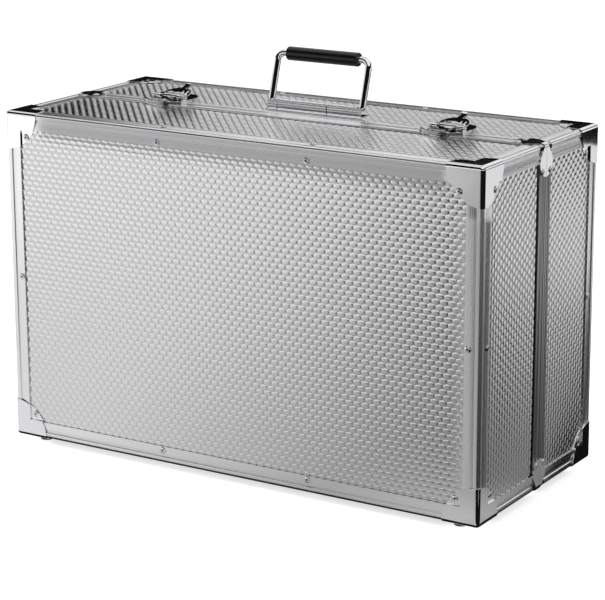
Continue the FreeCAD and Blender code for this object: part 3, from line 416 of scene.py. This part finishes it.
# %% Lamps
# Each lamp: where it hangs, what it is aimed at, its width in metres and its power in watts.
LAMPS = {
    "overhead_softbox": ((-0.3, 0.1, 2.6), (0, 0, 0.2), 2.0, 34),
    "left_softbox": ((-2.3, -1.25, 1.0), (-0.1, -0.1, 0.2), 1.8, 26),
}

for name, (place, aim, size, power) in LAMPS.items():
    data = bpy.data.lights.new(name, "AREA")
    data.shape = "SQUARE"
    data.size = size
    data.energy = power
    lamp = bpy.data.objects.new(name, data)
    lamp.location = place
    lamp.rotation_euler = (Vector(aim) - Vector(place)).to_track_quat("-Z", "Y").to_euler()
    lamp.visible_glossy = False
    bpy.context.scene.collection.objects.link(lamp)
print(len(LAMPS), "softboxes")

# %% [markdown]
# ## Finishes
#
# Each finish starts from what the real material is. Metals are fully metallic and keep the default IOR;
# their roughness tells a polished plating from a satin one. Patterns are measured in millimetres of the case
# itself, so a grain keeps its size on every piece. They all come from one noise, which can be drawn out along
# an axis and whose values mostly lie in a narrow span.

# %% Pattern and surface helpers
NOISE_SPAN = {"From Min": 0.3, "From Max": 0.7}


def grain(tree, size, stretch=(1, 1, 1), detail=2.0):
    """Noise with grains about one size across, drawn out along an axis whose stretch is small."""
    place = add_node(tree, "ShaderNodeTexCoord")
    scaled = add_node(tree, "ShaderNodeVectorMath", {
        0: place.outputs["Object"], 1: [axis / size for axis in stretch]}, operation="MULTIPLY")
    noise = add_node(tree, "ShaderNodeTexNoise", {
        "Vector": scaled.outputs[0], "Scale": 1.0, "Detail": detail})
    return noise.outputs["Fac"]


def finish(tree, looks, height=None, depth=0.0):
    """Completes a material from its looks, with a relief of some depth where it has a height pattern."""
    shader = add_node(tree, "ShaderNodeBsdfPrincipled", looks)
    if height is not None:
        bump = add_node(tree, "ShaderNodeBump", {"Height": height, "Strength": 1.0, "Distance": depth})
        tree.links.new(bump.outputs["Normal"], shader.inputs["Normal"])
    add_node(tree, "ShaderNodeOutputMaterial", {"Surface": shader.outputs[0]})


print("noise is read from", NOISE_SPAN["From Min"], "to", NOISE_SPAN["From Max"])

# %% [markdown]
# The caps, latches and handle are chromed steel. Smooth chrome would mirror like glass, but thin sheet comes
# out of its press with slow waves, which bend the reflections a little.

# %% Chrome
PRESSED_WAVE = 16 * MM
WAVE_DEPTH = 0.05 * MM

# Chrome: mirror-bright, with the slow waves that pressing leaves in thin sheet.
chrome, tree = new_material("bright_chrome")
finish(tree, {"Base Color": linear("#E4E4E6"), "Metallic": 1.0, "Roughness": 0.05},
       grain(tree, PRESSED_WAVE, detail=0.0), WAVE_DEPTH)
print("chrome with waves of", round(PRESSED_WAVE / MM), "mm")

# %% [markdown]
# The profiles are extruded aluminium. The die draws fine lines along their length, and such lines spread a
# reflection across themselves. So the noise is drawn out along the axis of each profile, with a material for
# each axis. The upright rims have ribs as well, coarser, with painted shade that darkens the colour between
# them.

# %% Aluminium
# Real die lines are finer than this; they are drawn as coarse as they need to be to show.
DIE_LINE = 0.8 * MM
DIE_DEPTH = 0.10 * MM
DULL_PATCH = 3 * DIE_LINE
RIB = 1.5 * MM
RIB_DEPTH = 0.5 * MM
DRAWN_OUT = 0.004
ALONG = {"x": (DRAWN_OUT, 1, 1), "y": (1, DRAWN_OUT, 1), "z": (1, 1, DRAWN_OUT)}

# Aluminium: satin, with faint die lines along the length of each extruded profile.
aluminium = {}
for axis, stretch in ALONG.items():
    aluminium[axis], tree = new_material("satin_aluminium_" + axis)
    satin = add_node(tree, "ShaderNodeMapRange", {
        "Value": grain(tree, DULL_PATCH, stretch), "To Min": 0.20, "To Max": 0.32, **NOISE_SPAN})
    finish(tree, {"Base Color": linear("#E2E2E4"), "Metallic": 1.0, "Roughness": satin.outputs[0]},
           grain(tree, DIE_LINE, stretch), DIE_DEPTH)

# Ribbed aluminium: dull, with painted shade darkening the colour between its ribs, and spreading what it
# mirrors sideways.
aluminium["ribbed"], tree = new_material("ribbed_aluminium_painted_shade")
ribs = grain(tree, RIB, ALONG["z"], 0.0)
# Painted shade: the rib noise runs the colour from dark in the grooves to light on the ribs.
shade = add_node(tree, "ShaderNodeMapRange", {
    "Value": ribs, "To Min": linear("#3C3C3E")[0], "To Max": linear("#A8A8AA")[0], **NOISE_SPAN})
finish(tree, {"Base Color": shade.outputs[0], "Metallic": 1.0, "Roughness": 0.3}, ribs, RIB_DEPTH)
print("aluminium:", ", ".join(aluminium))

# %% [markdown]
# The skin is a thin silver sheet whose colour is painted lighter on the crowns of its pillows and darker in
# the grooves, as painted shade. How far each point was pressed up is kept on the mesh under the name press,
# and sets that painted shade. A rivet is bright aluminium with the end of a steel pin in its middle, painted
# dark as shade in its hole. These materials have no relief, because the pillows and the heads are modelled.

# %% Skin and rivets
SKIN_GRAIN = 1.5 * MM

# Skin: glossy silver sheet, with painted shade darkening its colour in the grooves.
silver_skin, tree = new_material("embossed_silver_skin")
press = add_node(tree, "ShaderNodeAttribute", attribute_name="press")
# Painted shade: the colour is darkest where the skin was pressed least, in the grooves.
painted_groove_shade = add_node(tree, "ShaderNodeMapRange", {
    "Value": press.outputs["Fac"], "From Min": 0, "From Max": 1,
    "To Min": linear("#C6C6C6")[0], "To Max": linear("#DADADA")[0]})
gloss = add_node(tree, "ShaderNodeMapRange", {
    "Value": grain(tree, SKIN_GRAIN), "To Min": 0.10, "To Max": 0.16, **NOISE_SPAN})
finish(tree, {"Base Color": painted_groove_shade.outputs[0], "Metallic": 1.0, "Roughness": gloss.outputs[0]})

# Rivets: bright aluminium heads round the end of a steel pin, painted dark as shade in its hole.
bright_rivet, tree = new_material("bright_aluminium_rivet")
finish(tree, {"Base Color": linear("#D8D8DA"), "Metallic": 1.0, "Roughness": 0.12})
pin_painted_shade, tree = new_material("dark_steel_rivet_pin")
finish(tree, {"Base Color": linear("#2A2A2C"), "Metallic": 1.0, "Roughness": 0.35})
print("skin, rivet heads and pins")

# %% [markdown]
# Three black materials are left. They differ in their gleam: the grip is smooth PVC from a mould, the feet
# are dull rubber, and the lining is felt, whose fibres catch light at a grazing angle instead of gleaming.

# %% Plastic, rubber and cloth
PVC_GRAIN = 0.8 * MM
RUBBER_GRAIN = 0.5 * MM
FELT_FIBRE = 0.7 * MM

# Soft PVC: black, smooth from its mould.
grip_pvc, tree = new_material("black_soft_pvc")
finish(tree, {"Base Color": linear("#070708"), "Roughness": 0.3, "Specular IOR Level": 0.4},
       grain(tree, PVC_GRAIN), 0.01 * MM)

# Moulded rubber: black and dull.
foot_rubber, tree = new_material("black_moulded_rubber")
finish(tree, {"Base Color": linear("#0C0C0D"), "Roughness": 0.6, "Specular IOR Level": 0.25},
       grain(tree, RUBBER_GRAIN), 0.02 * MM)

# Felt: black, without a gleam, fuzzy from its fibres.
felt, tree = new_material("black_felt")
finish(tree, {"Base Color": linear("#131315"), "Roughness": 0.95, "Specular IOR Level": 0.1,
              "Sheen Weight": 0.3}, grain(tree, FELT_FIBRE, detail=4.0), 0.15 * MM)
print("PVC, rubber and felt")

# %% [markdown]
# ## Embossed skins
#
# The skin of a panel is pressed with rows of small pillows, each row set off by half a pillow from the next,
# like bricks. A bump map would stay flat in a grazing view along the top of the case, so the pillows are
# modelled. A grid of half-pillow cells is dissolved in pairs into bricks, and the ends of the upright joints
# are pushed together so that a brick gets pointed long sides.

# %% Sheet of bricks
PILLOW_PITCH = 8.71 * MM
ROW_PITCH = 5.33 * MM
PILLOW_POINT = 0.7 * MM
HALF_PILLOW = PILLOW_PITCH / 2
SPARE_COLUMNS = 4
SPARE_ROWS = 2


def pillow_sheet(width, height):
    """A flat sheet of brick faces, larger than width by height and centred on the origin."""
    columns = 2 * math.ceil(width / PILLOW_PITCH) + SPARE_COLUMNS
    rows = math.ceil(height / ROW_PITCH) + SPARE_ROWS
    shape = bmesh.new()
    bmesh.ops.create_grid(shape, x_segments=columns, y_segments=rows, size=0.5)
    bmesh.ops.scale(shape, vec=(columns * HALF_PILLOW, rows * ROW_PITCH, 1), verts=shape.verts)
    inner = []
    for edge in shape.edges:
        middle = (edge.verts[0].co + edge.verts[1].co) / 2
        upright = abs(edge.verts[0].co.x - edge.verts[1].co.x) < HALF_PILLOW / 2
        if upright and not edge.is_boundary:
            column = round(middle.x / HALF_PILLOW + columns / 2)
            row = math.floor(middle.y / ROW_PITCH + rows / 2)
            if (column + row) % 2:
                inner.append(edge)
    bmesh.ops.dissolve_edges(shape, edges=inner, use_verts=False)
    for vert in shape.verts:
        column = round(vert.co.x / HALF_PILLOW + columns / 2)
        line = round(vert.co.y / ROW_PITCH + rows / 2)
        vert.co.y += PILLOW_POINT if (column + line) % 2 == 0 else -PILLOW_POINT
    return shape


print("pillows every", round(PILLOW_PITCH / MM, 2), "by", round(ROW_PITCH / MM, 2), "mm")

# %% [markdown]
# Each brick is inset three times, each time less steeply, into a low dome: flank, shoulder and crown. After
# an inset the inner face is also made shorter, so the ends of a pillow are gentler than its long sides, and
# on the front and back it leans a little, which gives the slanting sparkle of the photograph. How far a point
# was pressed up is kept with it, because the skin's material paints shade into the grooves from it.

# %% Pillows
# Each step of the dome: width, rise, the part of the length that stays, and the lean.
FLANK = (0.45 * MM, 0.17 * MM, 1.0, 0.2)
SHOULDER = (0.75 * MM, 0.16 * MM, 0.85, 0.3)
CROWN = (0.90 * MM, 0.09 * MM, 0.7, 0.3)
PILLOW_RISE = FLANK[1] + SHOULDER[1] + CROWN[1]


def emboss(shape, width, height, leaning):
    """Presses a pillow into every brick whose middle lies inside width by height."""
    bricks = [face for face in shape.faces if abs(face.calc_center_median().x) < width / 2
              and abs(face.calc_center_median().y) < height / 2]
    for inset, rise, length, lean in (FLANK, SHOULDER, CROWN):
        bmesh.ops.inset_individual(shape, faces=bricks, thickness=inset, depth=rise, use_even_offset=True)
        slant = lean if leaning else 0
        for face in bricks:
            middle = face.calc_center_median()
            for vert in face.verts:
                off = vert.co - middle
                vert.co.x = middle.x + off.x * length - off.y * slant
    pressed = shape.verts.layers.float.new("press")
    for vert in shape.verts:
        vert[pressed] = vert.co.z / PILLOW_RISE
    return len(bricks)


print("pillows", round(PILLOW_RISE / MM, 2), "mm high")

# %% [markdown]
# The pressed sheet is larger than its panel. It is cut to size, and its outline is pulled back and closed, so
# that the sheet becomes a board. A thick block could carry the pillows too, but a sheet keeps them apart from
# the flat sides.

# %% Boards
def trim(shape, width, height):
    """Cuts a sheet to width by height."""
    for normal, half in (((1, 0, 0), width / 2), ((-1, 0, 0), width / 2),
                         ((0, 1, 0), height / 2), ((0, -1, 0), height / 2)):
        bmesh.ops.bisect_plane(shape, geom=shape.verts[:] + shape.edges[:] + shape.faces[:],
                               plane_co=Vector(normal) * half, plane_no=normal, clear_outer=True)


def board(shape, thickness):
    """Gives the sheet its board: the outline is pulled back by the thickness and closed."""
    rim = [edge for edge in shape.edges if edge.is_boundary]
    pulled = bmesh.ops.extrude_edge_only(shape, edges=rim)["geom"]
    for item in pulled:
        if isinstance(item, bmesh.types.BMVert):
            item.co.z = -thickness
    outline = [item for item in pulled if isinstance(item, bmesh.types.BMEdge)]
    bmesh.ops.holes_fill(shape, edges=outline, sides=0)


low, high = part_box("lid_front_panel")
print("the front board is", round((high - low).y / MM, 1), "mm thick")

# %% [markdown]
# A panel is laid out flat and then turned to its side of the case. The pillows lie along the long way of the
# front and upright on the two ends. The outermost strip hides under the profiles, so it stays flat.

# %% Panels
OUTWARD = {"front": (0, -1, 0), "back": (0, 1, 0), "top": (0, 0, 1), "bottom": (0, 0, -1),
           "left": (-1, 0, 0), "right": (1, 0, 0)}
PILLOWS_ALONG = {"front": (1, 0, 0), "back": (-1, 0, 0), "top": (1, 0, 0), "bottom": (1, 0, 0),
                 "left": (0, 0, 1), "right": (0, 0, 1)}
LEANING = ("front", "back")
HIDDEN_EDGE = 9.0 * MM
PANELS = [("lid", "front"), ("base", "back")]
PANELS += [(half, side) for half in ("lid", "base") for side in ("top", "bottom", "left", "right")]


def new_piece(name, shape, material, body):
    """Makes a finished object of a bmesh, shaded smoothly, and puts it on its body."""
    bmesh.ops.recalc_face_normals(shape, faces=shape.faces)
    for face in shape.faces:
        face.smooth = True
    mesh = bpy.data.meshes.new(name)
    shape.to_mesh(mesh)
    shape.free()
    mesh.materials.append(material)
    piece = bpy.data.objects.new(name, mesh)
    bpy.context.scene.collection.objects.link(piece)
    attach(piece, body)
    return piece


def embossed_panel(half, side):
    """The panel of one half and side, with its embossed skin, in the place of its CAD node."""
    node = "%s_%s_panel" % (half, side)
    low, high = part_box(node)
    outward = Vector(OUTWARD[side])
    along = Vector(PILLOWS_ALONG[side])
    across = outward.cross(along)
    width, height, thickness = [abs((high - low).dot(axis)) for axis in (along, across, outward)]
    shape = pillow_sheet(width, height)
    count = emboss(shape, width - 2 * HIDDEN_EDGE, height - 2 * HIDDEN_EDGE, side in LEANING)
    trim(shape, width, height)
    board(shape, thickness)
    turn = Matrix((along, across, outward)).transposed().to_4x4()
    middle = (low + high) / 2 + outward * thickness / 2
    bmesh.ops.transform(shape, matrix=Matrix.Translation(middle) @ turn, verts=shape.verts)
    piece = new_piece(node + "_embossed", shape, silver_skin, half)
    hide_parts(node)
    return count


pillows = sum(embossed_panel(half, side) for half, side in PANELS)
print(len(PANELS), "panels with", pillows, "pillows")

# %% [markdown]
# ## Rivets
#
# The rivets are the hollow kind that is set from one side. Each CAD rivet is a separate island of its node's
# mesh. That mesh is made of loose triangles, so a copy of it is welded first. An island is thinnest along its
# own axis, and that axis points away from the middle of the case. The head is made a trace lower than the CAD
# one, so that it stays inside the frame.

# %% Rivet seats
WELD = 0.001 * MM
INSIDE = 0.999


def welded(node):
    """A copy of a CAD mesh with its loose triangles joined."""
    shape = bmesh.new()
    shape.from_mesh(frame["nodes"][node].data)
    bmesh.ops.remove_doubles(shape, verts=shape.verts, dist=WELD)
    return shape


def islands(shape):
    """The corner points of each separate island of a mesh."""
    found = set()
    for start in shape.verts:
        if start in found:
            continue
        found.add(start)
        waiting = [start]
        island = []
        while waiting:
            vert = waiting.pop()
            island.append(vert.co.copy())
            near = {edge.other_vert(vert) for edge in vert.link_edges} - found
            found |= near
            waiting += near
        yield island


def rivet_seats(node):
    """The seat, radius and height of every rivet head of a node."""
    source = welded(node)
    centre = (cad_box[0] + cad_box[1]) / 2
    for island in islands(source):
        low = Vector([min(point[axis] for point in island) for axis in range(3)])
        high = Vector([max(point[axis] for point in island) for axis in range(3)])
        size = high - low
        thin = min(range(3), key=lambda axis: size[axis])
        outward = Vector((0, 0, 0))
        outward[thin] = 1 if (low + high)[thin] / 2 > centre[thin] else -1
        foot = (low + high) / 2 - outward * size[thin] / 2
        turn = outward.to_track_quat("Z", "Y").to_matrix().to_4x4()
        yield Matrix.Translation(foot) @ turn, max(size) / 2, size[thin] * INSIDE
    source.free()


SEATS = {half: list(rivet_seats(half + "_rivets")) for half in ("lid", "base")}
print({half: len(seats) for half, seats in SEATS.items()}, "rivets, the first head",
      round(SEATS["lid"][0][1] * 2 / MM, 2), "mm across")

# %% [markdown]
# A head is a dome with a hole in it, and in the hole sits the broken end of the pin that pulled the rivet
# tight. Both are turned shapes: an outline, in parts of the head's radius and height, is spun round the axis
# of each seat. All heads of one half make one piece, and all pins another.

# %% Rivet heads and pins
HEAD = ((1.0, 0.0), (1.0, 0.25), (0.9, 0.5), (0.7, 0.78), (0.45, 0.96), (0.37, 1.0), (0.32, 0.9),
        (0.31, 0.35))
PIN = ((0.31, 0.35), (0.29, 0.5), (0.0, 0.55))
TURN_STEPS = 20


def turned(shape, outline, seat, radius, height):
    """Spins an outline, given in parts of the radius and the height, round the axis of a seat."""
    path = [shape.verts.new((out * radius, 0, up * height)) for out, up in outline]
    edges = [shape.edges.new(pair) for pair in zip(path, path[1:])]
    bmesh.ops.spin(shape, geom=path + edges, axis=(0, 0, 1), angle=math.tau, steps=TURN_STEPS, use_merge=True)
    fresh = [vert for vert in shape.verts if not vert.tag]
    bmesh.ops.transform(shape, matrix=seat, verts=fresh)
    for vert in fresh:
        vert.tag = True


for half, seats in SEATS.items():
    for name, outline, material in (("heads", HEAD, bright_rivet), ("pins", PIN, pin_painted_shade)):
        shape = bmesh.new()
        for seat, radius, height in seats:
            turned(shape, outline, seat, radius, height)
        bmesh.ops.remove_doubles(shape, verts=shape.verts, dist=WELD)
        piece = new_piece("%s_rivet_%s" % (half, name), shape, material, half)
        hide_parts(half + "_rivets")
        print(piece.name, len(piece.data.polygons), "faces")

# %% [markdown]
# ## Profiles, caps and hardware
#
# These keep their CAD shapes. No real corner is perfectly sharp, though, and the thin light line on a soft
# one shows that a sheet was pressed or a bar drawn. So corners that are several times longer than their round
# get one. The latch levers have many short edges that such a round would cross, and only their round steps
# get a chamfer. The hooks are too fine for either and stay as they are.

# %% Soft corners
SMOOTH_UNDER = math.radians(38)
SOFT_CORNER = {"chrome": 0.25 * MM, "hinge": 0.25 * MM, "profile": 0.4 * MM, "rubber": 0.6 * MM}
CORNER_SEGMENTS = 2
SHORTEST_CORNER = 3
STEP_CORNER = 0.75 * MM
ARC_PIECE = 3.5 * MM
LEVEL_FACE = 0.85
UPRIGHT_FACE = 0.35


def sharp_edges(shape):
    """The edges of a closed shape where two faces meet at a real corner."""
    return [edge for edge in shape.edges if edge.is_manifold and edge.calc_face_angle() > SMOOTH_UNDER]


def soften(shape, width):
    """Rounds the corners that are several times longer than the width of the round."""
    corners = [edge for edge in sharp_edges(shape) if edge.calc_length() > SHORTEST_CORNER * width]
    bmesh.ops.bevel(shape, geom=corners, offset=width, offset_type="OFFSET", segments=CORNER_SEGMENTS,
                    profile=0.5, affect="EDGES", clamp_overlap=True, material=-1)


def soften_steps(shape):
    """Chamfers the round steps of a latch lever, whose edges come in short pieces of an arc."""
    steps = [edge for edge in sharp_edges(shape) if edge.is_convex and edge.calc_length() < ARC_PIECE
             and max(face.normal.z for face in edge.link_faces) > LEVEL_FACE
             and min(abs(face.normal.z) for face in edge.link_faces) < UPRIGHT_FACE]
    bmesh.ops.bevel(shape, geom=steps, offset=STEP_CORNER, offset_type="OFFSET", segments=1,
                    profile=0.5, affect="EDGES", clamp_overlap=True, material=-1)


print("soft corners in mm:", {slot: round(width / MM, 2) for slot, width in SOFT_CORNER.items()})

# %% [markdown]
# A CAD mesh is made of loose flat triangles, and polished metal would show each of them, so every piece is
# welded and shaded smoothly across gentle bends while its real corners stay sharp. Normals weighted by area
# keep the flat faces flat right up to a rounded edge. The record of the part says which body a piece belongs
# to and what it is made of.

# %% Smooth copies
FLAT_UNDER = math.radians(0.4)
AREA_WEIGHT = 100
FINISH = {"chrome": chrome, "hinge": chrome, "rubber": foot_rubber, "grip": grip_pvc, "lining": felt}
REMADE = ("panel", "rivet")
SLOTS = {entry["node"]: entry["material_slot"] for entry in frame["record"]["subparts"]}
BODY = {node: body for body, nodes in frame["record"]["behaviour"]["bodies"].items() for node in nodes}


def profile_axis(node):
    """The axis that a profile was extruded along, or the ribs of an upright rim."""
    if "corner" in node:
        return "y"
    if node.endswith(("left_rim", "right_rim")):
        return "ribbed"
    return "x" if "_top_" in node or "_bottom_" in node else "z"


def smooth_copy(node, material):
    """A welded, smoothly shaded copy of a CAD piece in its place."""
    shape = welded(node)
    bmesh.ops.dissolve_limit(shape, angle_limit=FLAT_UNDER, verts=shape.verts, edges=shape.edges)
    if "lever" in node:
        soften_steps(shape)
    elif "hook" not in node and SLOTS[node] in SOFT_CORNER:
        soften(shape, SOFT_CORNER[SLOTS[node]])
    piece = new_piece(node + "_smooth", shape, material, BODY[node])
    piece.data.set_sharp_from_angle(angle=SMOOTH_UNDER)
    even = piece.modifiers.new("flat_faces_stay_flat", "WEIGHTED_NORMAL")
    even.keep_sharp = True
    even.weight = AREA_WEIGHT
    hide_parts(node)


kept = {node: slot for node, slot in SLOTS.items() if slot not in REMADE}
for node, slot in kept.items():
    smooth_copy(node, aluminium[profile_axis(node)] if slot == "profile" else FINISH[slot])
print(len(kept), "smooth pieces")
